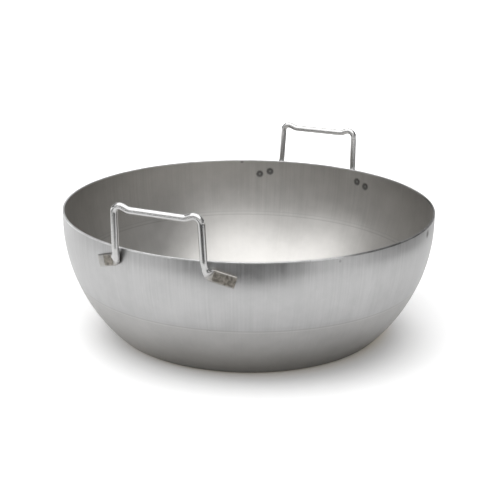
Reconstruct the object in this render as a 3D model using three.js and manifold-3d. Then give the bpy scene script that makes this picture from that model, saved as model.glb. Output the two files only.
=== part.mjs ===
// Deep-frying pan: a bowl pressed from one steel sheet, with two bent-rod handles.
// Each handle's two ends are hammered flat and held to the outside of the wall by two spot welds.
// Millimetres, +Z up, origin at the middle of the base. The handles stand on the Y axis.
import * as THREE from "three";
import { mergeVertices } from "three/addons/utils/BufferGeometryUtils.js";
import Module from "manifold-3d";

// Bowl
const RIM_DIAMETER = 400; // over the outside of the rim
const BOWL_HEIGHT = 135; // base to rim
const BASE_DIAMETER = 293; // where the wall's curve would meet the base plane
const COLLAR_HEIGHT = 10.5; // upright band under the rim
const SHEET = 2; // thickness of the sheet
const BASE_FILLET = 8; // outside radius from base to wall
const RIM_BREAK = 0.3; // broken edges of the cut rim
const RING_HEIGHT = 61.5; // lower edge of the draw ring
const RING_BAND = 5; // width of the draw ring
const RING_STEP = 0.2; // how far the wall above the ring stands out

// Handles
const ROD_DIAMETER = 7;
const GRIP_RISE = 41.3; // grip's middle line above the rim
const GRIP_LENGTH = 60; // between the two bends of the grip
const HORN_RISE = 6.2; // corner of the bent line above the grip
const LEG_SPREAD_TOP = 91; // between the legs' middle lines at the top
const LEG_SPREAD_RIM = 94; // and at the rim
const LEG_CLEARANCE = 3.4; // between leg and wall at the rim
const HANDLE_LEAN = 3; // how far the grip stands out beyond the legs at the rim
const HORN_BEND = 7; // bend radius at the top corners
const GRIP_BEND = 12; // bend radius at the ends of the grip
const LEG_END = 2; // the straight leg ends this far above the rim

// Flattened feet
const FOOT_WIDTH = 12.2;
const FOOT_THICKNESS = 3.4;
const FOOT_SQUARENESS = 6; // 2 is an oval, more is squarer
const FOOT_START = 15.2; // degrees round the wall from the handle's middle
const FOOT_END = 21.3; // degrees
const FOOT_DROP = 13.1; // middle of the foot below the rim where it starts
const FOOT_SLOPE = 16; // degrees, falling away from the handle
const FOOT_BEND = 6; // pull of the bend from leg to foot
const WIDE_FROM = 0.25; // share of that bend where the rod starts to widen, pressed on the wall's side
const FLAT_FROM = 0.6; // share of it where the outer face starts to flatten
const FOOT_EDGE = 0.7; // broken edges of the cut end

// Spot welds
const WELD_ANGLES = [16.9, 20.6]; // degrees round the wall from the handle's middle
const WELD_RISE = 1.2; // above the middle line of the foot
const NUGGET_DIAMETER = 5;
const NUGGET_IN_WALL = 0.7;
const NUGGET_IN_FOOT = 0.9;
const DENT_DIAMETER = 8; // round electrode dents inside the bowl
const DENT_DEPTH = 0.3;
const PAD_STARTS = [15.3, 18.85]; // degrees, square electrode marks on the foot's outer face
const PAD_ENDS = [18.65, 22]; // degrees, the second runs out over the end of the foot
const PAD_WIDTH = 10.4;
const PAD_DEPTH = 0.3;

const GAP = 0.3; // clearance between touching pieces
const BOWL_SEGMENTS = 80;
const ROD_SIDES = 16;
const WELD_SEGMENTS = 12;

const STEEL = { color: 0xb4b6b8, roughness: 0.38, metalness: 1 };
const BRIGHT_STEEL = { color: 0xcfd1d2, roughness: 0.22, metalness: 1 };
const WELD_STEEL = { color: 0x7d756c, roughness: 0.55, metalness: 1 };

const wasm = await Module();
wasm.setup();

// The wall is one arc whose upper end stands upright, stepped in by the draw ring.
const rimRadius = RIM_DIAMETER / 2;
const arcTop = BOWL_HEIGHT - COLLAR_HEIGHT;
const flare = rimRadius - BASE_DIAMETER / 2;
const upperArc =
  (flare ** 2 + arcTop ** 2 - RING_STEP ** 2) / (2 * (flare - RING_STEP));
const lowerArc = upperArc - RING_STEP;
const arcCentre = rimRadius - upperArc;
const filletCentre =
  arcCentre +
  Math.sqrt((lowerArc - BASE_FILLET) ** 2 - (arcTop - BASE_FILLET) ** 2);
const filletAngle = Math.atan2(arcTop - BASE_FILLET, filletCentre - arcCentre);
const ringLow = Math.asin((arcTop - RING_HEIGHT) / upperArc);
const ringHigh = Math.asin((arcTop - RING_HEIGHT - RING_BAND) / upperArc);

const radians = THREE.MathUtils.degToRad;

// Radius of the wall's arc at an angle down from its upright end.
function arcRadius(angle) {
  const inRing = THREE.MathUtils.smoothstep(angle, ringHigh, ringLow);
  return upperArc - RING_STEP * inRing;
}

// A point of the wall's section, a given depth inside its outer face.
function wallPoint(angle, depth) {
  const radius = arcRadius(angle) - depth;
  return new THREE.Vector2(
    arcCentre + radius * Math.cos(angle),
    arcTop - radius * Math.sin(angle),
  );
}

// One face of the sheet from the middle of the base up to the rim.
function sheetFace(depth) {
  const points = [new THREE.Vector2(0, depth)];
  const filletSteps = 4;
  for (let i = 0; i < filletSteps; i++) {
    const angle = THREE.MathUtils.lerp(Math.PI / 2, filletAngle, i / filletSteps);
    const radius = BASE_FILLET - depth;
    points.push(
      new THREE.Vector2(
        filletCentre + radius * Math.cos(angle),
        BASE_FILLET - radius * Math.sin(angle),
      ),
    );
  }
  const spans = [
    [filletAngle, ringLow, 5],
    [ringLow, ringHigh, 2],
    [ringHigh, 0, 5],
  ];
  for (const [from, to, steps] of spans) {
    for (let i = 0; i < steps; i++) {
      points.push(wallPoint(THREE.MathUtils.lerp(from, to, i / steps), depth));
    }
  }
  points.push(wallPoint(0, depth));
  points.push(new THREE.Vector2(rimRadius - depth, BOWL_HEIGHT - RIM_BREAK));
  return points;
}

function bowlGeometry() {
  const rim = [
    new THREE.Vector2(rimRadius - RIM_BREAK, BOWL_HEIGHT),
    new THREE.Vector2(rimRadius - SHEET + RIM_BREAK, BOWL_HEIGHT),
  ];
  const section = [...sheetFace(0), ...rim, ...sheetFace(SHEET).reverse()];
  return new THREE.LatheGeometry(section, BOWL_SEGMENTS).rotateX(Math.PI / 2);
}

// A place on the wall's outer face: theta round from the front, height above the base.
function onWall(theta, height) {
  const angle = Math.asin(Math.max(0, arcTop - height) / upperArc);
  const radius = height > arcTop ? rimRadius : wallPoint(angle, 0).x;
  const out = new THREE.Vector3(Math.sin(theta), -Math.cos(theta), 0);
  const normal = out.clone().multiplyScalar(Math.cos(angle));
  normal.z = -Math.sin(angle);
  const point = out.multiplyScalar(radius);
  point.z = height;
  return { point, normal };
}

// The middle line of a foot at an angle round the wall, in degrees.
function footPoint(degrees) {
  const along = rimRadius * radians(degrees - FOOT_START);
  const height =
    BOWL_HEIGHT - FOOT_DROP - along * Math.tan(radians(FOOT_SLOPE));
  const { point, normal } = onWall(radians(degrees), height);
  return point.addScaledVector(normal, GAP + FOOT_THICKNESS / 2);
}

// Points round a bend of a given radius where two straights meet at a corner.
function bendPoints(before, corner, after, radius, steps) {
  const back = before.clone().sub(corner).normalize();
  const ahead = after.clone().sub(corner).normalize();
  const half = back.angleTo(ahead) / 2;
  const reach = radius / Math.tan(half);
  const middle = back.clone().add(ahead).normalize();
  const centre = corner.clone().addScaledVector(middle, radius / Math.sin(half));
  const from = corner.clone().addScaledVector(back, reach).sub(centre);
  const axis = back.clone().cross(ahead).normalize();
  const turn = -(Math.PI - 2 * half);
  const points = [];
  for (let i = 0; i <= steps; i++) {
    points.push(
      from.clone().applyAxisAngle(axis, (turn * i) / steps).add(centre),
    );
  }
  return points;
}

// Half of a handle's middle line, from the grip to the end of one foot, with how wide and flat
// the rod is there.
function halfLine() {
  const legReach = rimRadius + LEG_CLEARANCE + ROD_DIAMETER / 2;
  const legOut = Math.sqrt(legReach ** 2 - (LEG_SPREAD_RIM / 2) ** 2);
  const gripHeight = BOWL_HEIGHT + GRIP_RISE;
  const gripOut = -(legOut + HANDLE_LEAN);
  const mid = new THREE.Vector3(0, gripOut, gripHeight);
  const gripEnd = new THREE.Vector3(GRIP_LENGTH / 2, gripOut, gripHeight);
  const horn = new THREE.Vector3(
    LEG_SPREAD_TOP / 2,
    gripOut,
    gripHeight + HORN_RISE,
  );
  const atRim = new THREE.Vector3(LEG_SPREAD_RIM / 2, -legOut, BOWL_HEIGHT);
  const down = atRim.clone().sub(horn).normalize();
  const legEnd = atRim.clone().addScaledVector(down, -LEG_END);

  const line = [
    ...bendPoints(mid, gripEnd, horn, GRIP_BEND, 4),
    ...bendPoints(gripEnd, horn, legEnd, HORN_BEND, 12),
  ].map((point) => ({ point, wide: 0, flat: 0 }));

  const footStart = footPoint(FOOT_START);
  const footAhead = footPoint(FOOT_START + 0.1).sub(footStart).normalize();
  const bend = new THREE.CubicBezierCurve3(
    legEnd,
    legEnd.clone().addScaledVector(down, FOOT_BEND),
    footStart.clone().addScaledVector(footAhead, -FOOT_BEND),
    footStart,
  );
  const bendSteps = 12;
  for (let i = 0; i < bendSteps; i++) {
    const share = i / bendSteps;
    const flat = THREE.MathUtils.smoothstep(share, FLAT_FROM, 1);
    const wide = THREE.MathUtils.smoothstep(share, WIDE_FROM, 1);
    const swell = ((wide - flat) * (ROD_DIAMETER - FOOT_THICKNESS)) / 2;
    const point = bend.getPoint(share);
    const out = new THREE.Vector3(point.x, point.y, 0).normalize();
    line.push({ point: point.addScaledVector(out, swell), wide, flat });
  }
  const footSteps = 5;
  const edgeStart = FOOT_END - THREE.MathUtils.radToDeg(FOOT_EDGE / rimRadius);
  for (let i = 0; i <= footSteps; i++) {
    const degrees = THREE.MathUtils.lerp(FOOT_START, edgeStart, i / footSteps);
    line.push({ point: footPoint(degrees), wide: 1, flat: 1 });
  }
  line.push({ point: footPoint(FOOT_END), wide: 1, flat: 1 });
  return line;
}

// The outline of the rod: round, hammered towards a squared oval in the feet.
function rodSection({ wide, flat }, shrink) {
  const halfWide =
    THREE.MathUtils.lerp(ROD_DIAMETER, FOOT_WIDTH, wide) / 2 - shrink;
  const halfThick =
    THREE.MathUtils.lerp(ROD_DIAMETER, FOOT_THICKNESS, flat) / 2 - shrink;
  const power = 2 / THREE.MathUtils.lerp(2, FOOT_SQUARENESS, flat);
  const outline = [];
  for (let i = 0; i < ROD_SIDES; i++) {
    const turn = (i / ROD_SIDES) * 2 * Math.PI;
    const [c, s] = [Math.cos(turn), Math.sin(turn)];
    outline.push([
      halfWide * Math.sign(c) * Math.abs(c) ** power,
      halfThick * Math.sign(s) * Math.abs(s) ** power,
    ]);
  }
  return outline;
}

// The bent rod: a loft through the sections set along its middle line.
function handleGeometry() {
  const half = halfLine();
  const mirrored = half
    .map(({ point, wide, flat }) => ({
      point: new THREE.Vector3(-point.x, point.y, point.z),
      wide,
      flat,
    }))
    .reverse();
  const line = [...mirrored, ...half];
  const last = line.length - 1;
  const rings = line.map((stop, i) => {
    const { point } = stop;
    const before = line[Math.max(0, i - 1)].point;
    const after = line[Math.min(last, i + 1)].point;
    const along = after.clone().sub(before).normalize();
    const out = new THREE.Vector3(point.x, point.y, 0).normalize();
    const thickWay = out.addScaledVector(along, -out.dot(along)).normalize();
    const wideWay = along.clone().cross(thickWay);
    const shrink = i === 0 || i === last ? FOOT_EDGE : 0;
    return rodSection(stop, shrink).map(([wide, thick]) =>
      point
        .clone()
        .addScaledVector(wideWay, wide)
        .addScaledVector(thickWay, thick),
    );
  });
  const corners = rings.flat();
  const ends = [line[0].point, line[last].point];
  const positions = [...corners, ...ends].flatMap((p) => [p.x, p.y, p.z]);
  const index = [];
  for (let ring = 0; ring < last; ring++) {
    for (let side = 0; side < ROD_SIDES; side++) {
      const a = ring * ROD_SIDES + side;
      const b = ring * ROD_SIDES + ((side + 1) % ROD_SIDES);
      index.push(a, a + ROD_SIDES, b, b, a + ROD_SIDES, b + ROD_SIDES);
    }
  }
  const lastRing = last * ROD_SIDES;
  for (let side = 0; side < ROD_SIDES; side++) {
    const next = (side + 1) % ROD_SIDES;
    index.push(corners.length, side, next);
    index.push(corners.length + 1, lastRing + next, lastRing + side);
  }
  return new THREE.BufferGeometry()
    .setAttribute("position", new THREE.Float32BufferAttribute(positions, 3))
    .setIndex(index);
}

// Turn a shape made along +Y so that it stands on the wall, +Y pointing out of the bowl.
function standOnWall(geometry, { point, normal }, depth) {
  const turn = new THREE.Quaternion().setFromUnitVectors(
    new THREE.Vector3(0, 1, 0),
    normal,
  );
  const foot = point.clone().addScaledVector(normal, -depth);
  return geometry.applyQuaternion(turn).translate(foot.x, foot.y, foot.z);
}

// A plain round cutter reaching from one depth under the wall's outer face to another.
function roundCutter(place, diameter, fromDepth, toDepth) {
  const length = fromDepth - toDepth;
  const cutter = new THREE.CylinderGeometry(
    diameter / 2,
    diameter / 2,
    length,
    WELD_SEGMENTS,
  );
  return standOnWall(cutter.translate(0, length / 2, 0), place, fromDepth);
}

// A cutter for one square electrode mark on the outer face of the foot.
function padCutter(sign, startDegrees, endDegrees) {
  const mirror = new THREE.Vector3(sign, 1, 1);
  const middle = (startDegrees + endDegrees) / 2;
  const run = footPoint(endDegrees).sub(footPoint(startDegrees)).multiply(mirror);
  const height = footPoint(middle).z;
  const { point, normal } = onWall(radians(sign * middle), height);
  const across = run.clone().cross(normal).normalize();
  const along = normal.clone().cross(across);
  const floor = GAP + FOOT_THICKNESS - PAD_DEPTH;
  const base = point.addScaledVector(normal, floor);
  return new THREE.BoxGeometry(run.length(), SHEET, PAD_WIDTH)
    .translate(0, SHEET / 2, 0)
    .applyMatrix4(
      new THREE.Matrix4().makeBasis(along, normal, across).setPosition(base),
    );
}

// The melted core of a spot weld, fuller where wall and foot meet.
function nuggetGeometry(place) {
  const inFoot = GAP + NUGGET_IN_FOOT;
  const profile = [
    [0, -NUGGET_IN_WALL],
    [NUGGET_DIAMETER * 0.36, -NUGGET_IN_WALL],
    [NUGGET_DIAMETER / 2, 0],
    [NUGGET_DIAMETER / 2, GAP],
    [NUGGET_DIAMETER * 0.36, inFoot],
    [0, inFoot],
  ].map(([x, y]) => new THREE.Vector2(x, y));
  return standOnWall(new THREE.LatheGeometry(profile, WELD_SEGMENTS), place, 0);
}

function solidOf(geometry) {
  const bare = geometry.clone();
  bare.deleteAttribute("normal");
  bare.deleteAttribute("uv");
  const merged = mergeVertices(bare, 1e-4);
  return new wasm.Manifold(
    new wasm.Mesh({
      numProp: 3,
      vertProperties: merged.attributes.position.array,
      triVerts: new Uint32Array(merged.index.array),
    }),
  );
}

function cutAway(geometry, cutters) {
  let solid = solidOf(geometry);
  for (const cutter of cutters) solid = solid.subtract(solidOf(cutter));
  const mesh = solid.getMesh();
  const cut = new THREE.BufferGeometry()
    .setAttribute("position", new THREE.BufferAttribute(mesh.vertProperties, 3))
    .setIndex(new THREE.BufferAttribute(mesh.triVerts, 1));
  cut.computeVertexNormals();
  return cut;
}

const pan = new THREE.Group();
pan.name = "deep_frying_pan";

function addPiece(name, geometry, finish) {
  const piece = new THREE.Mesh(geometry, new THREE.MeshStandardMaterial(finish));
  piece.name = name;
  pan.add(piece);
}

const sides = [
  { side: "left", sign: -1 },
  { side: "right", sign: 1 },
];
const weldNames = ["inner", "outer"];
const welds = sides.flatMap(({ side, sign }) =>
  WELD_ANGLES.map((degrees, i) => ({
    name: `${side}_${weldNames[i]}`,
    place: onWall(radians(sign * degrees), footPoint(degrees).z + WELD_RISE),
  })),
);

const nuggetRoom = NUGGET_DIAMETER + 2 * GAP;
const nuggetPockets = welds.map(({ place }) =>
  roundCutter(place, nuggetRoom, 0, -(NUGGET_IN_FOOT + 2 * GAP)),
);
const pads = sides.flatMap(({ sign }) =>
  PAD_STARTS.map((start, i) => padCutter(sign, start, PAD_ENDS[i])),
);
const wallCuts = welds.flatMap(({ place }) => [
  roundCutter(place, nuggetRoom, NUGGET_IN_WALL + GAP, -GAP / 2),
  roundCutter(place, DENT_DIAMETER, 2 * SHEET, SHEET - DENT_DEPTH),
]);
const handle = cutAway(handleGeometry(), [...nuggetPockets, ...pads]);
const rearTurn = Math.PI;
const rearWallCuts = wallCuts.map((cutter) => cutter.clone().rotateZ(rearTurn));

addPiece("bowl", cutAway(bowlGeometry(), [...wallCuts, ...rearWallCuts]), STEEL);
addPiece("front_handle", handle, BRIGHT_STEEL);
addPiece("rear_handle", handle.clone().rotateZ(rearTurn), BRIGHT_STEEL);
for (const { name, place } of welds) {
  const nugget = nuggetGeometry(place);
  addPiece(`weld_front_${name}`, nugget, WELD_STEEL);
  addPiece(`weld_rear_${name}`, nugget.clone().rotateZ(rearTurn), WELD_STEEL);
}

export default pan;
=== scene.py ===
"""Deep-frying pan: fine surfaces, steel materials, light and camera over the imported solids."""

import math

import bpy
import numpy as np
from mathutils import Matrix, Vector


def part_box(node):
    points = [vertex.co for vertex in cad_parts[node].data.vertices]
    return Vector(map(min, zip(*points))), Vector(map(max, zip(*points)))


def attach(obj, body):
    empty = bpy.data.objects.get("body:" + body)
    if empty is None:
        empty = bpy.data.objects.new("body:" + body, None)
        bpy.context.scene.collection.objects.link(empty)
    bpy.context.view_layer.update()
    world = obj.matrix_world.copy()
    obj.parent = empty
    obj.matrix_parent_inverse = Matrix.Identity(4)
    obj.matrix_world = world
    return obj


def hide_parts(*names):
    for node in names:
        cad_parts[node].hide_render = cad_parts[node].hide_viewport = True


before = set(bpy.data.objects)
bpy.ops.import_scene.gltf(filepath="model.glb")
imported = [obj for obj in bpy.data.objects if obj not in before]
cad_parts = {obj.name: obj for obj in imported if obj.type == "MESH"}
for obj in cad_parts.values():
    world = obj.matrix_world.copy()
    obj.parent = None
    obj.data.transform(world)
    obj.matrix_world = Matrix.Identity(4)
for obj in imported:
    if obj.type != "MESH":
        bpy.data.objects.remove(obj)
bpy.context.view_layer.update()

# Bowl, in metres, as in the part's source
BOWL_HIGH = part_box("bowl")[1]
RIM_RADIUS = BOWL_HIGH.x
BOWL_HEIGHT = BOWL_HIGH.z
BASE_RADIUS = 0.1465
COLLAR_HEIGHT = 0.0105
SHEET = 0.002
BASE_FILLET = 0.008
RIM_BREAK = 0.0003
RING_HEIGHT = 0.0615
RING_BAND = 0.005
RING_BAND_INSIDE = 0.015
RING_STEP = 0.0002
RING_INSIDE = 0.0675

# Fineness of the bowl's mesh. The rows of the wall lie between the stops, closer at ring and welds
BASE_ROWS = 10
FILLET_ROWS = 10
WALL_STOPS = (RING_HEIGHT - 0.004, RING_INSIDE + 0.006, 0.104)
WALL_ROWS = (18, 32, 14, 28)
COLLAR_ROWS = 10
RIM_EDGE_ROWS = 5
BOWL_COLUMNS = 200
WELD_COLUMNS = 20
WELD_COLUMN_REACH = math.radians(1.6)
LEAST_COLUMN_GAP = math.radians(0.05)

# Handles, with their bearings from +X in degrees
HANDLE_BEARINGS = (-90, 90)
ROD_RADIUS = 0.0035
GRIP_RISE = 0.0413
GRIP_LENGTH = 0.060
HORN_RISE = 0.00615
LEG_SPREAD_TOP = 0.091
LEG_SPREAD_RIM = 0.094
LEG_CLEARANCE = 0.0034
HANDLE_LEAN = 0.003
HORN_BEND = 0.007
GRIP_BEND = 0.012
LEG_END = 0.002

# Flattened feet. Angles are in degrees round the wall from the handle's middle
FOOT_WIDTH = 0.0122
FOOT_THICKNESS = 0.0034
FOOT_SQUARENESS = 6
FOOT_START = 15.2
FOOT_END = 21.3
FOOT_DROP = 0.0131
FOOT_SLOPE = 16
FOOT_BEND = 0.006
FOOT_END_ROUND = 0.0008
WIDE_FROM = 0.25
FLAT_FROM = 0.6
GAP = 0.0003

# Fineness of the handles' mesh: sides of the rod, and steps along each stretch of half a handle
ROD_SIDES = 48
GRIP_STEPS = 12
SHOULDER_STEPS = 10
HORN_STEPS = 3
CORNER_STEPS = 28
LEG_STEPS = 16
TURN_STEPS = 40
FOOT_STEPS = 64

# Spot welds: the dish pressed into the wall, with lip and crown as shares of its radius and depth
WELD_ANGLES = (16.9, 20.6)
WELD_RISE = 0.0012
DENT_RADIUS = 0.0041
DENT_DEPTH = 0.0003
DENT_FLAT = 0.55
LIP_PLACE = 1.12
LIP_WIDTH = 0.16
LIP_RISE = 0.2
CROWN_WIDTH = 0.3
CROWN_RISE = 0.3

# Marks of the electrodes on the feet. Two marks lie side by side and meet in a seam
PAD_START = 15.2
PAD_SEAM = 18.75
PAD_WIDTH = 0.0106
PAD_DEPTH = 0.0003
PAD_EDGE = 0.15
PAD_BOW = 0.3
PAD_SIDE = 0.88
SEAM_DEPTH = 0.6
SEAM_WIDTH = 0.13
PRESSED_FROM = 0.95

# How far welding has tinted the inner and outer half of each foot, left foot first
FRONT_TINT = ((1.0, 0.45), (1.0, 1.0))
REAR_TINT = ((0.9, 0.6), (0.8, 0.3))

# Nicks in the sheet: bearing from +X in degrees, height, radius, darkness
OUTSIDE_NICKS = ((0.3, 0.1276, 0.0056, 0.95), (-40.0, 0.1308, 0.0020, 0.45))
INSIDE_NICKS = ((117.1, 0.1335, 0.0030, 0.75),)
NICK_MIDDLE = 0.3

# Looks of the two faces of the sheet
SHEET_FACES = {
    "outside": {
        "ring": RING_HEIGHT,
        "depth": 0.0,
        "nicks": OUTSIDE_NICKS,
        "darkest": 0.44,
        "warmth": 0.0,
        "streaks": 1.2,
        "smoothest": 0.30,
        "anisotropy": 0.5,
        # Pale line under the step: a painted highlight
        "ring_edge": {"drop": 0.0016, "cover": 0.15, "tone": 0.75},
    },
    "inside": {
        "ring": RING_INSIDE,
        "depth": SHEET,
        "nicks": INSIDE_NICKS,
        "darkest": 0.47,
        "warmth": 0.02,
        "streaks": 1.8,
        "smoothest": 0.36,
        "anisotropy": 0.0,
        "ring_edge": {"drop": -0.0036, "cover": 0.2, "tone": 0.30},
    },
}
TONE_SPREAD = 0.07
ROUGHNESS_SPREAD = 0.1
SHEET_RELIEF = (0.00004, 0.3)

# Patterns of noise as scale, detail and roughness, the range they mostly lie in, and a harder step
BLOTCHES = (16, 3.0, 0.55)
CLOUDS = (60, 4.0, 0.6)
PATCHES = (11, 2.0)
DRAWN_OUT = (1.0, 3.0, 0.6)
NOISE_RANGE = (0.3, 0.7)
MOTTLED = (0.35, 0.65)

# Weights of lines, broad streaks, blotches and clouds in the sheet's tone
TONE_WEIGHTS = (0.45, 0.25, 0.35, 0.45)

# Weights of lines, clouds and blotches in the sheet's roughness
WEAR_WEIGHTS = (0.5, 0.5, 0.4)
WEAR_RANGE = (0.25, 0.75)
GRAIN_DEPTH = 0.5

# Grain of the sheet: streaks as a count in a radian and in a metre of height, scuffs as turn and scale
FINE_STREAKS = (95, 9)
BROAD_STREAKS = (26, 5)
MILL_GRAIN = (30, 900, 30)
BASE_BELOW = (0.010, 0.003)
PATCH_EDGE = (0.40, 0.62)
LEAST_STREAKS = 0.3
RIM_STREAKS = 2.2
RIM_STREAKS_FROM = (0.098, 0.124)
STREAKS_BELOW_RING = 0.3
SCUFFS = (((0, 35, 10), (420, 420, 18)), ((25, -50, 0), (380, 380, 22)))
SCUFF_EDGE = (0.73, 0.80)
SCUFF_COVER = 0.12
SCUFF_DEPTH = 0.15

# Lines at the draw ring: half the width of its step, the ledge above it inside, and the width of its lines.
# The pale line under the step outside is a painted highlight.
RING_SOFT = 0.0006
LEDGE = (0.0040, 0.0032)
RING_LINE = (0.0010, 0.0002)
RING_LINE_COVER = 0.35

# Scorched rings round the welds inside, as shares of the dent's radius, with a ragged edge
SCORCH_EDGE = (1.35, 0.75)
SCORCH_MIDDLE = (0.5, 0.1)
SCORCH_MIDDLE_COVER = 0.6
SCORCH_ROUGHNESS = 0.12
RAGGED_SCALE = 700
RAGGED_REACH = 0.0012

# Steel of rim, rod and welds: noise, ranges of roughness and cover, relief as distance and strength
EDGE_SCRATCHES = (900, 2.0)
EDGE_BLOTCHES = (60, 2.0)
EDGE_ROUGHNESS = (0.26, 0.40)
EDGE_REFLECTED_DARK_COVER = (0.95, 0.75)
EDGE_RELIEF = (0.00004, 0.4)
ROD_LINES = (6.0, 3.0, 0.6)
ROD_LINES_ALONG = 3
ROD_ROUGHNESS = (0.21, 0.27)
FOOT_BLOTCHES = (260, 4.0, 0.6)
FOOT_COVER = (0.45, 0.75)
FOOT_ROUGHNESS = 0.28
PAD_COVER = 0.95
HAMMER_MARKS = (420, 2.0)
HAMMER_RELIEF = (0.00012, 0.5)
WELD_MOTTLE = (900, 4.0, 0.6)
WELD_ROUGHNESS = (0.42, 0.6)
WELD_RELIEF = (0.0001, 0.6)

# Tones of the steel as grey and warmth, and pairs of tones that noise mixes
WARMTH_IN_BLUE = 1.6
# Inside above the ring: a slightly duller finish, deepened by painted shade towards the rim
DULL_AND_SHADE_TONE = (0.86, 0.005)
DULL_AND_SHADE_AT_RING = 0.35
BELOW_RING_TONE = (0.95, 0.01)
# Painted shade low on the outer wall: the shadow under the pan that the wall mirrors
LOW_WALL_SHADE_TONE = (0.72, 0.03)
LOW_WALL_SHADE_BELOW = (0.055, 0.0)
RING_LINE_TONE = (0.30, 0.02)
SCUFF_TONE = (0.70, 0.0)
NICK_TONE = (0.12, 0.03)
SCORCH_TONE = (0.13, 0.02)
SCORCH_MIDDLE_TONE = (0.33, 0.01)
CUT_EDGE_TONES = ((0.66, 0.0), (0.78, 0.0))
# Painted dark reflection on one stretch of the rim
CUT_EDGE_REFLECTED_DARK_TONE = (0.08, 0.02)
CUT_EDGE_REFLECTED_DARK_FROM = (0.148, 0.170)
ROD_TONES = ((0.50, 0.005), (0.58, 0.005))
FOOT_TONES = ((0.14, 0.09), (0.30, 0.08))
WELD_TONES = ((0.14, 0.06), (0.32, 0.05))

# Camera, from the photo
CAMERA_AZIMUTH = 24.65
CAMERA_PLACE = (-0.0033, -1.1886, 0.4719)
CAMERA_PITCH = 18.178
CAMERA_ROLL = 0.521
CAMERA_LENS = 81.83
CAMERA_SENSOR = 36
CAMERA_SHIFT = 0.0093

# Light, placed as the camera sees it: right, away, up
SOFTBOXES = {
    "overhead": {"place": (-0.15, -0.3, 1.3), "size": (2.3, 1.6), "power": 23},
    "front": {"place": (0.1, -2.0, 1.0), "size": (3.6, 1.5), "power": 9.6},
    "left": {"place": (-1.7, -0.5, 1.1), "size": (1.8, 0.9), "power": 5},
    "back": {"place": (0.0, 0.7, 1.4), "size": (2.0, 0.9), "power": 7},
    "far": {"place": (0.0, 1.8, 0.75), "size": (2.2, 0.9), "power": 2.5},
}
WORLD_GREY = (0.2, 0.2, 0.2, 1)

# Floor. An edge gives the distances between which a lift of its light sets in or ends
FLOOR_HALF = 30.0
FLOOR_WHITE = 0.8
# Painted shadow: where the floor's glow for the camera is less round the pan
SHADE_CENTRE = (0.012, -0.06, 0.0)
SHADE_WIDTH = 1.25
SHADE_EDGE = (0.075, 0.176)
LIFT_SEEN = 0.39
# Painted warm glow round the base
TOUCH_CENTRE = (0.007, -0.007, 0.0)
TOUCH_EDGE = (0.138, 0.158)
TOUCH_GLOW_COLOUR = (1.0, 0.87, 0.66, 1.0)
LIFT_TOUCH = 0.07
# Glow seen only in the metal: painted brighter reflections away from the pan and beside it
MIRRORED_EDGE = (0.16, 0.28)
BESIDE_MIDDLE = 0.008
BESIDE_EDGE = (0.068, 0.124)
LIFT_MIRRORED = 0.15
FAR_EDGE = (0.4, 1.6)
LIFT_FAR = 1.3

# Black card as the camera sees it: its edge near the pan from left to right, then its far corners
FLAG_OUTLINE = (
    (-1.5, 0.25),
    (-0.6, 0.2),
    (-0.6, -0.09),
    (-0.54, -0.275),
    (-0.46, -0.385),
    (-0.38, -0.445),
    (-0.3, -0.45),
    (-0.2, -0.43),
    (0.1, -0.42),
    (0.35, -0.535),
    (0.5, -0.5),
    (0.5, 0.6),
    (1.5, 0.6),
    (1.5, -1.5),
    (-0.75, -1.5),
)
FLAG_HEIGHT = 0.004
FLAG_BLACK = (0.02, 0.02, 0.02, 1)
FLAG_ROUGHNESS = 0.9

arc_top = BOWL_HEIGHT - COLLAR_HEIGHT
flare = RIM_RADIUS - BASE_RADIUS
upper_arc = (flare**2 + arc_top**2 - RING_STEP**2) / (2 * (flare - RING_STEP))
lower_arc = upper_arc - RING_STEP
arc_centre = RIM_RADIUS - upper_arc
fillet_centre = arc_centre + math.sqrt((lower_arc - BASE_FILLET) ** 2 - (arc_top - BASE_FILLET) ** 2)
fillet_angle = math.atan2(arc_top - BASE_FILLET, fillet_centre - arc_centre)


def smooth(low, high, value):
    """0 below low, 1 above high, with a soft step between."""
    t = np.clip((value - low) / (high - low), 0, 1)
    return t * t * (3 - 2 * t)


def arc_angle(height):
    """Angle down from the upright end of the wall's arc at which it reaches a height."""
    return math.asin((arc_top - height) / upper_arc)


def arc_radius(angle, depth):
    """Radius of the wall's arc at an angle down from its upright end, with a softer step inside."""
    band = RING_BAND_INSIDE if depth > 0 else RING_BAND
    in_ring = smooth(arc_angle(RING_HEIGHT + band), arc_angle(RING_HEIGHT), angle)
    return upper_arc - RING_STEP * in_ring - depth


def wall_point(angle, depth):
    """Radius and height of the wall's section, a given depth inside its outer face."""
    radius = arc_radius(angle, depth)
    return arc_centre + radius * math.cos(angle), arc_top - radius * math.sin(angle)


def on_wall(theta, height):
    """Point and outward normal of the wall's outer face, theta round from the front."""
    angle = math.asin(max(0.0, arc_top - height) / upper_arc)
    radius = RIM_RADIUS if height > arc_top else wall_point(angle, 0)[0]
    out = Vector((math.sin(theta), -math.cos(theta), 0))
    normal = out * math.cos(angle)
    normal.z = -math.sin(angle)
    point = out * radius
    point.z = height
    return point, normal


def foot_point(degrees):
    """Middle line of a foot at an angle round the wall, in degrees from the handle's middle."""
    along = RIM_RADIUS * math.radians(degrees - FOOT_START)
    height = BOWL_HEIGHT - FOOT_DROP - along * math.tan(math.radians(FOOT_SLOPE))
    point, normal = on_wall(math.radians(degrees), height)
    return point + normal * (GAP + FOOT_THICKNESS / 2)


def weld_height(degrees):
    """Height of a weld on the wall, given its angle from the handle's middle."""
    return foot_point(degrees).z + WELD_RISE


def new_piece(name, vertices, faces, materials, indices=None):
    """A smooth mesh object. The indices say which of its materials each face wears."""
    mesh = bpy.data.meshes.new(name)
    mesh.from_pydata([tuple(v) for v in vertices], [], faces)
    for material in materials:
        mesh.materials.append(material)
    if indices is not None:
        mesh.polygons.foreach_set("material_index", indices)
    mesh.shade_smooth()
    mesh.update()
    piece = bpy.data.objects.new(name, mesh)
    bpy.context.scene.collection.objects.link(piece)
    return piece


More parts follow.
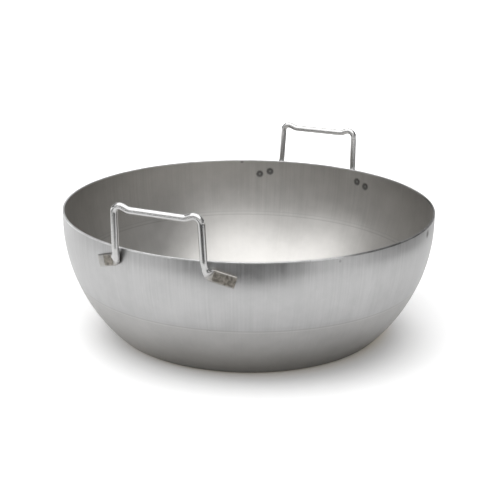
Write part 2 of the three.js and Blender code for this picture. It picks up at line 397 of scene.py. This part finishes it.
# Node graphs
class Graph:
    """A node material, built in short calls. A value may be a number, a colour or another node's output."""

    def __init__(self, name):
        self.material = bpy.data.materials.new(name)
        self.material.use_nodes = True
        self.tree = self.material.node_tree
        self.shader = self.tree.nodes["Principled BSDF"]
        self.position = self.node("ShaderNodeTexCoord").outputs["Object"]

    def node(self, kind, inputs=(), **settings):
        made = self.tree.nodes.new(kind)
        for key, value in settings.items():
            setattr(made, key, value)
        for key, value in dict(inputs).items():
            self.feed(made.inputs[key], value)
        return made

    def feed(self, socket, value):
        if isinstance(value, bpy.types.NodeSocket):
            self.tree.links.new(value, socket)
        else:
            socket.default_value = value

    def math(self, operation, a, b=0.0):
        return self.node("ShaderNodeMath", {0: a, 1: b}, operation=operation).outputs[0]

    def vector(self, operation, a, b=(0, 0, 0)):
        made = self.node("ShaderNodeVectorMath", {0: a, 1: b}, operation=operation)
        return made.outputs["Value" if operation in ("DISTANCE", "LENGTH") else "Vector"]

    def axis(self, vector, name):
        return self.node("ShaderNodeSeparateXYZ", {0: vector}).outputs[name]

    def step(self, value, low, high):
        """0 at low, 1 at high, with a soft step between. Low may lie above high."""
        inputs = {"Value": value, "From Min": low, "From Max": high}
        made = self.node("ShaderNodeMapRange", inputs, interpolation_type="SMOOTHSTEP")
        return made.outputs["Result"]

    def spread(self, value, low, high, to_low, to_high):
        """A range of values mapped straight to another one."""
        inputs = {"Value": value, "From Min": low, "From Max": high, "To Min": to_low, "To Max": to_high}
        return self.node("ShaderNodeMapRange", inputs).outputs["Result"]

    def noise(self, vector, scale, detail=2.0, roughness=0.5):
        inputs = {"Vector": vector, "Scale": scale, "Detail": detail, "Roughness": roughness}
        return self.node("ShaderNodeTexNoise", inputs).outputs[0]

    def mix(self, factor, a, b, blend="MIX"):
        """Two colours mixed. Inputs 6 and 7 and output 2 of this node are those for colours."""
        made = self.node("ShaderNodeMix", data_type="RGBA", blend_type=blend)
        self.feed(made.inputs["Factor"], factor)
        self.feed(made.inputs[6], a)
        self.feed(made.inputs[7], b)
        return made.outputs[2]

    def blend(self, *parts):
        """Sum of values, each given with its weight and counted from its middle, 0.5, round 0.5."""
        total = 0.5
        for value, weight in parts:
            off_middle = self.math("SUBTRACT", value, 0.5)
            total = self.math("ADD", self.math("MULTIPLY", off_middle, weight), total)
        return total

    def turned(self, degrees, scale):
        """Object position, scaled and then turned about X, Y and Z."""
        rotation = [math.radians(d) for d in degrees]
        inputs = {"Vector": self.position, "Rotation": rotation, "Scale": scale}
        return self.node("ShaderNodeMapping", inputs).outputs[0]

    def attribute(self, name):
        return self.node("ShaderNodeAttribute", attribute_name=name).outputs["Fac"]

    def bump(self, height, distance, strength):
        inputs = {"Height": height, "Distance": distance, "Strength": strength}
        return self.node("ShaderNodeBump", inputs).outputs["Normal"]

    def finish(self, **inputs):
        """Feed the shader and give the material. Words in an input's name are joined by underscores."""
        for key, value in inputs.items():
            self.feed(self.shader.inputs[key.replace("_", " ")], value)
        return self.material


def grey(value, warmth=0.0):
    """A grey, warmed by more red and less blue."""
    return (value * (1 + warmth), value, value * (1 - WARMTH_IN_BLUE * warmth), 1)


def tones(g, noise, pair, edge=MOTTLED):
    """Two tones mixed by noise."""
    return g.mix(g.step(noise, *edge), grey(*pair[0]), grey(*pair[1]))


# Steel of the sheet
def wall_streaks(g, across, along):
    """Noise drawn out up the wall, with its fineness round the bowl and up it."""
    around = g.vector("NORMALIZE", g.vector("MULTIPLY", g.position, (1, 1, 0)))
    wide = g.vector("MULTIPLY", around, (across, across, 0))
    tall = g.vector("MULTIPLY", g.position, (0, 0, along))
    return g.noise(g.vector("ADD", wide, tall), *DRAWN_OUT)


def sheet_grain(g, height):
    """Fine streaks on the wall, plain mill grain on the base."""
    mill = g.noise(g.vector("MULTIPLY", g.position, MILL_GRAIN), *DRAWN_OUT)
    return g.mix(g.step(height, *BASE_BELOW), wall_streaks(g, *FINE_STREAKS), mill)


def streak_strength(g, height, side):
    """How strongly the fine streaks show: in patches, and outside more so near the rim."""
    patches = g.step(g.noise(g.position, *PATCHES), *PATCH_EDGE)
    strength = g.spread(patches, 0.0, 1.0, LEAST_STREAKS, SHEET_FACES[side]["streaks"])
    if side == "inside":
        return strength
    near_rim = g.math("MULTIPLY", g.step(height, *RIM_STREAKS_FROM), RIM_STREAKS)
    return g.math("MAXIMUM", strength, near_rim)


def below_ring(g, height, side):
    """1 below the draw ring and 0 above it. Inside there are two steps, with a narrow ledge between."""
    ring = SHEET_FACES[side]["ring"]
    below = g.step(height, ring + RING_SOFT, ring - RING_SOFT)
    if side == "outside":
        return below
    ledge = g.step(height, ring + LEDGE[0], ring + LEDGE[1])
    return g.math("MULTIPLY", g.math("ADD", below, ledge), 0.5)


def level_line(g, off_ring, drop):
    """A thin line round the bowl, a given drop below the ring."""
    return g.step(g.math("ABSOLUTE", g.math("ADD", off_ring, drop)), *RING_LINE)


def stray_scuffs(g):
    """Sparse fine scratches in two directions."""
    first, second = (g.step(g.noise(g.turned(*way), 1.0, 1.0), *SCUFF_EDGE) for way in SCUFFS)
    return g.math("MAXIMUM", first, second)


def nick_spots(g, side):
    """A soft spot for each nick of one face, with its darkness."""
    face = SHEET_FACES[side]
    for degrees, height, radius, darkness in face["nicks"]:
        place, outward = on_wall(math.radians(degrees + 90), height)
        away = g.vector("DISTANCE", g.position, place - outward * face["depth"])
        yield g.step(away, radius, radius * NICK_MIDDLE), darkness


def weld_distance(g):
    """Ragged distance from the nearest weld inside. Folded in four, the bowl has one foot's welds alone."""
    folded = g.vector("ABSOLUTE", g.position)
    distances = []
    for degrees in WELD_ANGLES:
        point, normal = on_wall(math.radians(degrees), weld_height(degrees))
        centre = point - normal * SHEET
        distances.append(g.vector("DISTANCE", folded, (abs(centre.x), abs(centre.y), centre.z)))
    off_middle = g.math("SUBTRACT", g.noise(g.position, RAGGED_SCALE), 0.5)
    ragged = g.math("MULTIPLY", off_middle, RAGGED_REACH)
    return g.math("ADD", g.math("MINIMUM", *distances), ragged)


def weld_ring(g, from_weld, edge):
    """1 near a weld, 0 away from it, with its edge given in shares of the dent's radius."""
    return g.step(from_weld, DENT_RADIUS * edge[0], DENT_RADIUS * edge[1])


def sheet_steel(side):
    """Satin pressed sheet, with its grain, the draw ring, scuffs, nicks and, inside, scorched welds."""
    face = SHEET_FACES[side]
    inside = side == "inside"
    g = Graph("sheet_" + side)
    height = g.axis(g.position, "Z")
    below = below_ring(g, height, side)
    fade = g.spread(below, 0.0, 1.0, 1.0, STREAKS_BELOW_RING)
    strength = g.math("MULTIPLY", streak_strength(g, height, side), fade)
    lines = g.blend((sheet_grain(g, height), strength))
    broad = g.blend((wall_streaks(g, *BROAD_STREAKS), fade))
    blotch = g.noise(g.position, *BLOTCHES)
    cloud = g.noise(g.position, *CLOUDS)

    tone = g.blend(*zip((lines, broad, blotch, cloud), TONE_WEIGHTS))
    dark = grey(face["darkest"], face["warmth"])
    light = grey(face["darkest"] + TONE_SPREAD, face["warmth"])
    colour = g.mix(g.step(tone, *NOISE_RANGE), dark, light)
    if inside:
        # Inside above the ring: a slightly duller finish, and painted shade darkening the wall towards the
        # rim
        dull_and_shade = g.spread(height, face["ring"], BOWL_HEIGHT, DULL_AND_SHADE_AT_RING, 1.0)
        dulled_and_shaded = g.mix(dull_and_shade, colour, grey(*DULL_AND_SHADE_TONE), "MULTIPLY")
        colour = g.mix(below, dulled_and_shaded, colour)
    else:
        colour = g.mix(below, colour, grey(*BELOW_RING_TONE), "MULTIPLY")
        # Painted shade: darker and warmer towards the base, for the shadow under the pan that the wall
        # mirrors
        colour = g.mix(g.step(height, *LOW_WALL_SHADE_BELOW), colour, grey(*LOW_WALL_SHADE_TONE), "MULTIPLY")

    off_ring = g.math("SUBTRACT", height, face["ring"])
    ring_line = level_line(g, off_ring, 0.0)
    # Second line: outside, a painted highlight under the step; inside, a dark line at the ledge
    ring_edge = level_line(g, off_ring, face["ring_edge"]["drop"])
    colour = g.mix(g.math("MULTIPLY", ring_line, RING_LINE_COVER), colour, grey(*RING_LINE_TONE))
    edge_cover = g.math("MULTIPLY", ring_edge, face["ring_edge"]["cover"])
    colour = g.mix(edge_cover, colour, grey(face["ring_edge"]["tone"]))

    scuffs = stray_scuffs(g)
    colour = g.mix(g.math("MULTIPLY", scuffs, SCUFF_COVER), colour, grey(*SCUFF_TONE))
    scarred = g.math("MULTIPLY", scuffs, SCUFF_DEPTH)
    for nick, darkness in nick_spots(g, side):
        colour = g.mix(g.math("MULTIPLY", nick, darkness), colour, grey(*NICK_TONE))
        scarred = g.math("MAXIMUM", scarred, nick)

    worn = g.blend(*zip((lines, cloud, blotch), WEAR_WEIGHTS))
    roughest = face["smoothest"] + ROUGHNESS_SPREAD
    roughness = g.spread(worn, *WEAR_RANGE, face["smoothest"], roughest)
    if inside:
        from_weld = weld_distance(g)
        scorched = weld_ring(g, from_weld, SCORCH_EDGE)
        clean = g.math("MULTIPLY", weld_ring(g, from_weld, SCORCH_MIDDLE), SCORCH_MIDDLE_COVER)
        scorch = g.mix(clean, grey(*SCORCH_TONE), grey(*SCORCH_MIDDLE_TONE))
        colour = g.mix(scorched, colour, scorch)
        roughness = g.math("ADD", roughness, g.math("MULTIPLY", scorched, SCORCH_ROUGHNESS))

    relief = g.math("SUBTRACT", g.math("MULTIPLY", lines, GRAIN_DEPTH), scarred)
    return g.finish(
        Base_Color=colour,
        Metallic=1.0,
        Roughness=roughness,
        Anisotropic=face["anisotropy"],
        Tangent=g.node("ShaderNodeTangent", direction_type="RADIAL", axis="Z").outputs[0],
        Normal=g.bump(relief, *SHEET_RELIEF),
    )


# Steel of the rim, the handles and the welds
def cut_edge_steel():
    """Sheared rim: brighter than the sheet, scratched, with a painted dark reflection on one stretch."""
    g = Graph("cut_edge_steel")
    scratch = g.noise(g.position, *EDGE_SCRATCHES)
    blotch = g.noise(g.position, *EDGE_BLOTCHES)
    # Painted dark reflection on the stretch of rim past the given x
    in_dark_reflection = g.step(g.axis(g.position, "X"), *CUT_EDGE_REFLECTED_DARK_FROM)
    dark = g.math("MULTIPLY", in_dark_reflection, g.spread(blotch, *NOISE_RANGE, *EDGE_REFLECTED_DARK_COVER))
    return g.finish(
        Base_Color=g.mix(dark, tones(g, blotch, CUT_EDGE_TONES), grey(*CUT_EDGE_REFLECTED_DARK_TONE)),
        Metallic=1.0,
        Roughness=g.spread(scratch, *NOISE_RANGE, *EDGE_ROUGHNESS),
        Normal=g.bump(scratch, *EDGE_RELIEF),
    )


def rod_steel():
    """Bright drawn rod, going brown and dull on the hammered and welded feet."""
    g = Graph("rod_steel")
    flat = g.attribute("flat")
    along = g.math("MULTIPLY", g.attribute("along"), ROD_LINES_ALONG)
    drawn = g.node("ShaderNodeCombineXYZ", {"X": along, "Y": g.attribute("turn"), "Z": 0.0})
    lines = g.noise(drawn.outputs[0], *ROD_LINES)
    blotch = g.noise(g.position, *FOOT_BLOTCHES)
    hammer = g.noise(g.position, *HAMMER_MARKS)
    worn = g.math("MULTIPLY", flat, g.spread(blotch, *NOISE_RANGE, *FOOT_COVER))
    cover = g.math("MAXIMUM", worn, g.math("MULTIPLY", g.attribute("pressed"), PAD_COVER))
    cover = g.math("MULTIPLY", cover, g.attribute("tinted"))
    bright = tones(g, lines, ROD_TONES, NOISE_RANGE)
    roughness = g.spread(lines, *NOISE_RANGE, *ROD_ROUGHNESS)
    return g.finish(
        Base_Color=g.mix(cover, bright, tones(g, blotch, FOOT_TONES)),
        Metallic=1.0,
        Roughness=g.math("ADD", roughness, g.math("MULTIPLY", cover, FOOT_ROUGHNESS)),
        Normal=g.bump(g.math("MULTIPLY", hammer, flat), *HAMMER_RELIEF),
    )


def weld_steel():
    """Dull melted steel of the nuggets between foot and wall."""
    g = Graph("weld_metal")
    mottle = g.noise(g.position, *WELD_MOTTLE)
    return g.finish(
        Base_Color=tones(g, mottle, WELD_TONES),
        Metallic=1.0,
        Roughness=g.spread(mottle, *NOISE_RANGE, *WELD_ROUGHNESS),
        Normal=g.bump(mottle, *WELD_RELIEF),
    )


# Bowl
def spaced(low, high, count):
    """Even values from low up to, but without, high."""
    return list(np.linspace(low, high, count, endpoint=False))


def sheet_face(depth):
    """One face of the sheet from the middle of the base up to the rim, as radius and height."""
    rows = [(radius, depth) for radius in spaced(0.0, fillet_centre, BASE_ROWS)]
    radius = BASE_FILLET - depth
    for angle in spaced(math.pi / 2, fillet_angle, FILLET_ROWS):
        rows.append((fillet_centre + radius * math.cos(angle), BASE_FILLET - radius * math.sin(angle)))
    stops = [fillet_angle, *(arc_angle(height) for height in WALL_STOPS), 0.0]
    for start, end, count in zip(stops[:-1], stops[1:], WALL_ROWS):
        rows.extend(wall_point(angle, depth) for angle in spaced(start, end, count))
    for height in spaced(arc_top, BOWL_HEIGHT - RIM_BREAK, COLLAR_ROWS):
        rows.append((RIM_RADIUS - depth, height))
    return rows


def rim_rows():
    """The broken outer edge, the cut face and the broken inner edge."""
    rows = []
    low = BOWL_HEIGHT - RIM_BREAK
    edges = (
        (RIM_RADIUS - RIM_BREAK, 0.0, math.pi / 2),
        (RIM_RADIUS - SHEET + RIM_BREAK, math.pi / 2, math.pi),
    )
    for middle, start, end in edges:
        for angle in np.linspace(start, end, RIM_EDGE_ROWS):
            rows.append((middle + RIM_BREAK * math.cos(angle), low + RIM_BREAK * math.sin(angle)))
    return rows


def weld_bearings():
    """Every weld as a bearing round the bowl in radians and a height."""
    found = []
    for middle in HANDLE_BEARINGS:
        for degrees in WELD_ANGLES:
            for sign in (-1, 1):
                found.append((math.radians(middle + sign * degrees), weld_height(degrees)))
    return found


def bowl_bearings():
    """Bearings of the mesh columns: even, and closer at the welds."""
    bearings = spaced(-math.pi, math.pi, BOWL_COLUMNS)
    for bearing, _ in weld_bearings():
        start, end = bearing - WELD_COLUMN_REACH, bearing + WELD_COLUMN_REACH
        bearings.extend(np.linspace(start, end, WELD_COLUMNS))
    bearings = sorted((b + math.pi) % (2 * math.pi) - math.pi for b in bearings)
    kept = [bearings[0]]
    for bearing in bearings[1:]:
        if bearing - kept[-1] > LEAST_COLUMN_GAP:
            kept.append(bearing)
    return np.array(kept)


def weld_dent(distance):
    """Depth of the electrode's dish: a flat floor, a soft edge, a low lip and a crown in the middle."""
    from_lip = (distance - DENT_RADIUS * LIP_PLACE) / (DENT_RADIUS * LIP_WIDTH)
    from_middle = distance / (DENT_RADIUS * CROWN_WIDTH)
    dish = DENT_DEPTH * (1 - smooth(DENT_RADIUS * DENT_FLAT, DENT_RADIUS, distance))
    lip = LIP_RISE * DENT_DEPTH * np.exp(-(from_lip**2))
    crown = CROWN_RISE * DENT_DEPTH * np.exp(-(from_middle**2))
    return dish - lip - crown


def press_dents(points):
    """Press the dish of every weld into the points of the inner face."""
    for bearing, height in weld_bearings():
        outer, normal = on_wall(bearing + math.pi / 2, height)
        away = np.linalg.norm(points - np.array(outer - normal * SHEET), axis=-1)
        points += np.array(normal) * weld_dent(away)[..., None]


def make_bowl(outside, inside, edge):
    """The sheet as one closed mesh: rows up the outer face, over the rim and down the inner face."""
    outer, rim, inner = sheet_face(0.0), rim_rows(), sheet_face(SHEET)[::-1]
    wears_outside, wears_inside, wears_edge = 0, 1, 2
    kinds = [wears_outside] * len(outer) + [wears_edge] * len(rim) + [wears_inside] * len(inner)
    rows, kinds = np.array(outer + rim + inner)[1:-1], kinds[1:-1]
    bearings = bowl_bearings()
    columns = len(bearings)
    radius, height = rows[:, :1], rows[:, 1:]
    level = np.broadcast_to(height, (len(rows), columns))
    grid = np.stack([radius * np.cos(bearings), radius * np.sin(bearings), level], axis=-1)
    press_dents(grid[len(outer) + len(rim) - 1 :])
    vertices = np.concatenate([grid.reshape(-1, 3), [[0, 0, 0], [0, 0, SHEET]]])
    under, floor = len(vertices) - 2, len(vertices) - 1
    faces, indices = [], []
    last = len(rows) - 1
    for row in range(last):
        for column in range(columns):
            after = (column + 1) % columns
            a, b = row * columns + column, row * columns + after
            faces.append((a, b, b + columns, a + columns))
            indices.append(max(kinds[row], kinds[row + 1]))
    for column in range(columns):
        after = (column + 1) % columns
        faces.append((under, after, column))
        indices.append(wears_outside)
        faces.append((floor, last * columns + column, last * columns + after))
        indices.append(wears_inside)
    piece = new_piece("bowl_sheet", vertices, faces, [outside, inside, edge], indices)
    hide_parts("bowl")
    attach(piece, "root")


# Handles
def bend_points(before, corner, after, radius, steps):
    """Points round a bend of a given radius where two straights meet at a corner."""
    back = (before - corner).normalized()
    ahead = (after - corner).normalized()
    half = back.angle(ahead) / 2
    centre = corner + (back + ahead).normalized() * (radius / math.sin(half))
    start = corner + back * (radius / math.tan(half)) - centre
    axis = back.cross(ahead).normalized()
    turn = -(math.pi - 2 * half)
    return [Matrix.Rotation(turn * i / steps, 3, axis) @ start + centre for i in range(steps + 1)]


def half_line():
    """Half of a handle's middle line from grip to foot end, with how wide and how flat the rod is there."""
    reach = RIM_RADIUS + LEG_CLEARANCE + ROD_RADIUS
    leg_out = math.sqrt(reach**2 - (LEG_SPREAD_RIM / 2) ** 2)
    grip_height = BOWL_HEIGHT + GRIP_RISE
    grip_out = -(leg_out + HANDLE_LEAN)
    mid = Vector((0, grip_out, grip_height))
    grip_end = Vector((GRIP_LENGTH / 2, grip_out, grip_height))
    horn = Vector((LEG_SPREAD_TOP / 2, grip_out, grip_height + HORN_RISE))
    at_rim = Vector((LEG_SPREAD_RIM / 2, -leg_out, BOWL_HEIGHT))
    down = (at_rim - horn).normalized()
    leg_end = at_rim - down * LEG_END
    shoulder = bend_points(mid, grip_end, horn, GRIP_BEND, SHOULDER_STEPS)
    corner = bend_points(grip_end, horn, leg_end, HORN_BEND, CORNER_STEPS)
    points = [mid.lerp(shoulder[0], i / GRIP_STEPS) for i in range(GRIP_STEPS)] + shoulder
    points += [shoulder[-1].lerp(corner[0], i / HORN_STEPS) for i in range(1, HORN_STEPS)] + corner
    points += [corner[-1].lerp(leg_end, i / LEG_STEPS) for i in range(1, LEG_STEPS)]
    wide, flat = [0.0] * len(points), [0.0] * len(points)
    start = foot_point(FOOT_START)
    just_after = foot_point(FOOT_START + 0.1)
    ahead = (just_after - start).normalized()
    pulls = [leg_end, leg_end + down * FOOT_BEND, start - ahead * FOOT_BEND, start]
    for share in np.linspace(0, 1, TURN_STEPS, endpoint=False):
        weights = [(1 - share) ** 3, 3 * share * (1 - share) ** 2, 3 * share**2 * (1 - share), share**3]
        point = sum((p * w for p, w in zip(pulls, weights)), Vector((0, 0, 0)))
        wide.append(float(smooth(WIDE_FROM, 1.0, share)))
        flat.append(float(smooth(FLAT_FROM, 1.0, share)))
        swell = (wide[-1] - flat[-1]) * (ROD_RADIUS - FOOT_THICKNESS / 2)
        points.append(point + Vector((point.x, point.y, 0)).normalized() * swell)
    for degrees in np.linspace(FOOT_START, FOOT_END, FOOT_STEPS):
        points.append(foot_point(degrees))
        wide.append(1.0)
        flat.append(1.0)
    return points, wide, flat


def degrees_round(point):
    """Angle of a point round the wall, in degrees from the handle's middle."""
    return math.degrees(math.atan2(abs(point.x), -point.y))


def imprint(point, wide):
    """How far the electrodes have pressed the foot's outer face, from 0 to 1."""
    degrees = degrees_round(point)
    across = abs(wide) / (PAD_WIDTH / 2)
    begun = smooth(-PAD_EDGE, PAD_EDGE, degrees - PAD_START - PAD_BOW * across**4)
    groove = SEAM_DEPTH * math.exp(-(((degrees - PAD_SEAM) / SEAM_WIDTH) ** 2))
    return float(begun * (1 + groove) * (1 - smooth(PAD_SIDE, 1.0, across)))


def foot_tint(point, tint):
    """How far welding has tinted the foot at a point of its middle line."""
    inner, outer = tint[0] if point.x < 0 else tint[1]
    past_seam = smooth(PAD_SEAM - PAD_EDGE, PAD_SEAM + PAD_EDGE, degrees_round(point))
    return inner + (outer - inner) * float(past_seam)


def rod_section(widened, flat, shrink):
    """Outline of the rod across its middle line: round, or going over into a strap with rounded corners."""
    wide_half = (1 - widened) * ROD_RADIUS + widened * FOOT_WIDTH / 2 - shrink
    thick_half = (1 - flat) * ROD_RADIUS + flat * FOOT_THICKNESS / 2 - shrink
    power = 2 + flat * (FOOT_SQUARENESS - 2)
    for side in range(ROD_SIDES):
        angle = 2 * math.pi * (side + 0.5) / ROD_SIDES
        c, s = math.cos(angle), math.sin(angle)
        reach = (abs(c / wide_half) ** power + abs(s / thick_half) ** power) ** (-1 / power)
        yield reach * c, reach * s, c


def end_shrink(to_end):
    """How far the section draws in at the rounded end of a foot."""
    into_round = max(0.0, FOOT_END_ROUND - to_end)
    return FOOT_END_ROUND - math.sqrt(max(0.0, FOOT_END_ROUND**2 - into_round**2))


def make_handle(name, node, turn, tint, material):
    """One bent rod, swept ring by ring along its middle line, with what its steel needs kept in layers."""
    half, half_wide, half_flat = half_line()
    points = [Vector((-p.x, p.y, p.z)) for p in half[::-1]] + half[1:]
    wides = half_wide[::-1] + half_wide[1:]
    flats = half_flat[::-1] + half_flat[1:]
    last = len(points) - 1
    run = 0.0
    vertices = []
    layers = {"along": [], "flat": [], "pressed": [], "turn": [], "tinted": []}
    for i, (point, widened, flat) in enumerate(zip(points, wides, flats)):
        before, after = points[max(0, i - 1)], points[min(last, i + 1)]
        way = (after - before).normalized()
        run += (point - before).length
        out = Vector((point.x, point.y, 0)).normalized()
        thick_way = (out - way * out.dot(way)).normalized()
        wide_way = way.cross(thick_way)
        to_end = min((point - points[0]).length, (point - points[last]).length)
        tinted = foot_tint(point, tint)
        for wide, thick, facing in rod_section(widened, flat, end_shrink(to_end)):
            pressed = imprint(point, wide) if flat > PRESSED_FROM and thick > 0 else 0.0
            thick -= PAD_DEPTH * pressed
            vertices.append(point + wide_way * wide + thick_way * thick)
            layers["along"].append(run)
            layers["flat"].append(flat)
            layers["pressed"].append(pressed)
            layers["turn"].append(facing)
            layers["tinted"].append(tinted)
    faces = []
    for ring in range(last):
        for side in range(ROD_SIDES):
            a, b = ring * ROD_SIDES + side, ring * ROD_SIDES + (side + 1) % ROD_SIDES
            faces.append((a, a + ROD_SIDES, b + ROD_SIDES, b))
    faces.append(tuple(range(ROD_SIDES)))
    faces.append(tuple(range((last + 1) * ROD_SIDES - 1, last * ROD_SIDES - 1, -1)))
    spin = Matrix.Rotation(turn, 3, "Z")
    piece = new_piece(name, [spin @ v for v in vertices], faces, [material])
    for key, values in layers.items():
        layer = piece.data.attributes.new(key, "FLOAT", "POINT")
        layer.data.foreach_set("value", values)
    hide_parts(node)
    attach(piece, "root")


make_bowl(sheet_steel("outside"), sheet_steel("inside"), cut_edge_steel())
rod = rod_steel()
make_handle("front_rod", "front_handle", 0.0, FRONT_TINT, rod)
make_handle("rear_rod", "rear_handle", math.pi, REAR_TINT, rod)
weld = weld_steel()
for node_name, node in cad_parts.items():
    if node_name.startswith("weld_"):
        node.data.materials.clear()
        node.data.materials.append(weld)


# Floor, light and camera
def from_camera(right, away, up):
    """A place given as the camera sees it, measured from the middle of the base."""
    return Matrix.Rotation(math.radians(CAMERA_AZIMUTH), 3, "Z") @ Vector((right, away, up))


def stage_plane(name, corners, material):
    """A flat piece of the stage."""
    plane = new_piece(name, corners, [tuple(range(len(corners)))], [material])
    return plane


def floor_white():
    """White floor, glowing: to white away from the pan, less in its painted shadow, warm at the base."""
    g = Graph("floor_white")
    to_shade = {
        "Vector": g.position,
        "Location": from_camera(*SHADE_CENTRE),
        "Rotation": (0, 0, math.radians(CAMERA_AZIMUTH)),
        "Scale": (SHADE_WIDTH, 1, 1),
    }
    shade = g.node("ShaderNodeMapping", to_shade, vector_type="TEXTURE").outputs[0]
    away = g.vector("LENGTH", g.position)
    far = g.spread(away, *FAR_EDGE, 0.0, LIFT_FAR)

    clear = g.math("MULTIPLY", g.step(g.vector("LENGTH", shade), *SHADE_EDGE), LIFT_SEEN)
    # Painted warm glow round the base
    from_base = g.vector("DISTANCE", g.position, from_camera(*TOUCH_CENTRE))
    touch_glow = g.math("SUBTRACT", 1.0, g.step(from_base, *TOUCH_EDGE))
    near_lift = g.math("ADD", clear, g.math("MULTIPLY", touch_glow, LIFT_TOUCH))
    seen_lift = g.math("ADD", far, near_lift)

    # Glow seen only in the metal: painted reflections, brighter beside the pan
    across = g.math("SUBTRACT", g.axis(shade, "X"), BESIDE_MIDDLE)
    beside = g.step(g.math("ABSOLUTE", across), *BESIDE_EDGE)
    mirrored_glow_mask = g.math("MAXIMUM", g.step(away, *MIRRORED_EDGE), beside)
    mirror_lift = g.math("ADD", far, g.math("MULTIPLY", mirrored_glow_mask, LIFT_MIRRORED))

    path = g.node("ShaderNodeLightPath").outputs
    mirrored = g.math("MAXIMUM", path["Is Glossy Ray"], path["Is Transmission Ray"])
    seen_lift = g.math("MULTIPLY", seen_lift, path["Is Camera Ray"])
    return g.finish(
        Base_Color=(FLOOR_WHITE, FLOOR_WHITE, FLOOR_WHITE, 1),
        Roughness=1.0,
        Specular_IOR_Level=0.0,
        Emission_Color=g.mix(touch_glow, (1, 1, 1, 1), TOUCH_GLOW_COLOUR),
        Emission_Strength=g.math("ADD", seen_lift, g.math("MULTIPLY", mirror_lift, mirrored)),
    )


def make_floor():
    low, high = -FLOOR_HALF, FLOOR_HALF
    stage_plane("floor", [(low, low, 0), (high, low, 0), (high, high, 0), (low, high, 0)], floor_white())


def make_flag():
    """Black card on the floor that only the metal mirrors. It stands for the dark room round the pan."""
    material = Graph("flag_black").finish(Base_Color=FLAG_BLACK, Roughness=FLAG_ROUGHNESS)
    flag = stage_plane("flag", [from_camera(x, y, FLAG_HEIGHT) for x, y in FLAG_OUTLINE], material)
    flag.visible_camera = False
    flag.visible_diffuse = False
    flag.visible_shadow = False


def area_light(name, place, size, power):
    """A softbox turned to the pan."""
    data = bpy.data.lights.new(name, "AREA")
    data.shape = "RECTANGLE"
    data.size, data.size_y = size
    data.energy = power
    lamp = bpy.data.objects.new(name, data)
    lamp.location = place
    lamp.rotation_euler = (-place).to_track_quat("-Z", "Y").to_euler()
    bpy.context.scene.collection.objects.link(lamp)


def make_world():
    """Even grey light from all round."""
    world = bpy.data.worlds.new("studio")
    world.use_nodes = True
    world.node_tree.nodes["Background"].inputs["Color"].default_value = WORLD_GREY
    bpy.context.scene.world = world


def make_camera():
    """The photo's camera, placed in front of the pan and then turned about its upright axis."""
    spin = Matrix.Rotation(math.radians(CAMERA_AZIMUTH), 4, "Z")
    place = Matrix.Translation(CAMERA_PLACE)
    pitch = Matrix.Rotation(math.radians(90 - CAMERA_PITCH), 4, "X")
    roll = Matrix.Rotation(math.radians(CAMERA_ROLL), 4, "Z")
    data = bpy.data.cameras.new("photo_camera")
    data.lens = CAMERA_LENS
    data.sensor_width = CAMERA_SENSOR
    data.shift_x = CAMERA_SHIFT
    camera = bpy.data.objects.new("photo_camera", data)
    camera.matrix_world = spin @ place @ pitch @ roll
    bpy.context.scene.collection.objects.link(camera)
    bpy.context.scene.camera = camera


make_floor()
make_flag()
for light_name, softbox in SOFTBOXES.items():
    area_light(light_name, from_camera(*softbox["place"]), softbox["size"], softbox["power"])
make_world()
make_camera()
bpy.context.scene.view_settings.view_transform = "Standard"
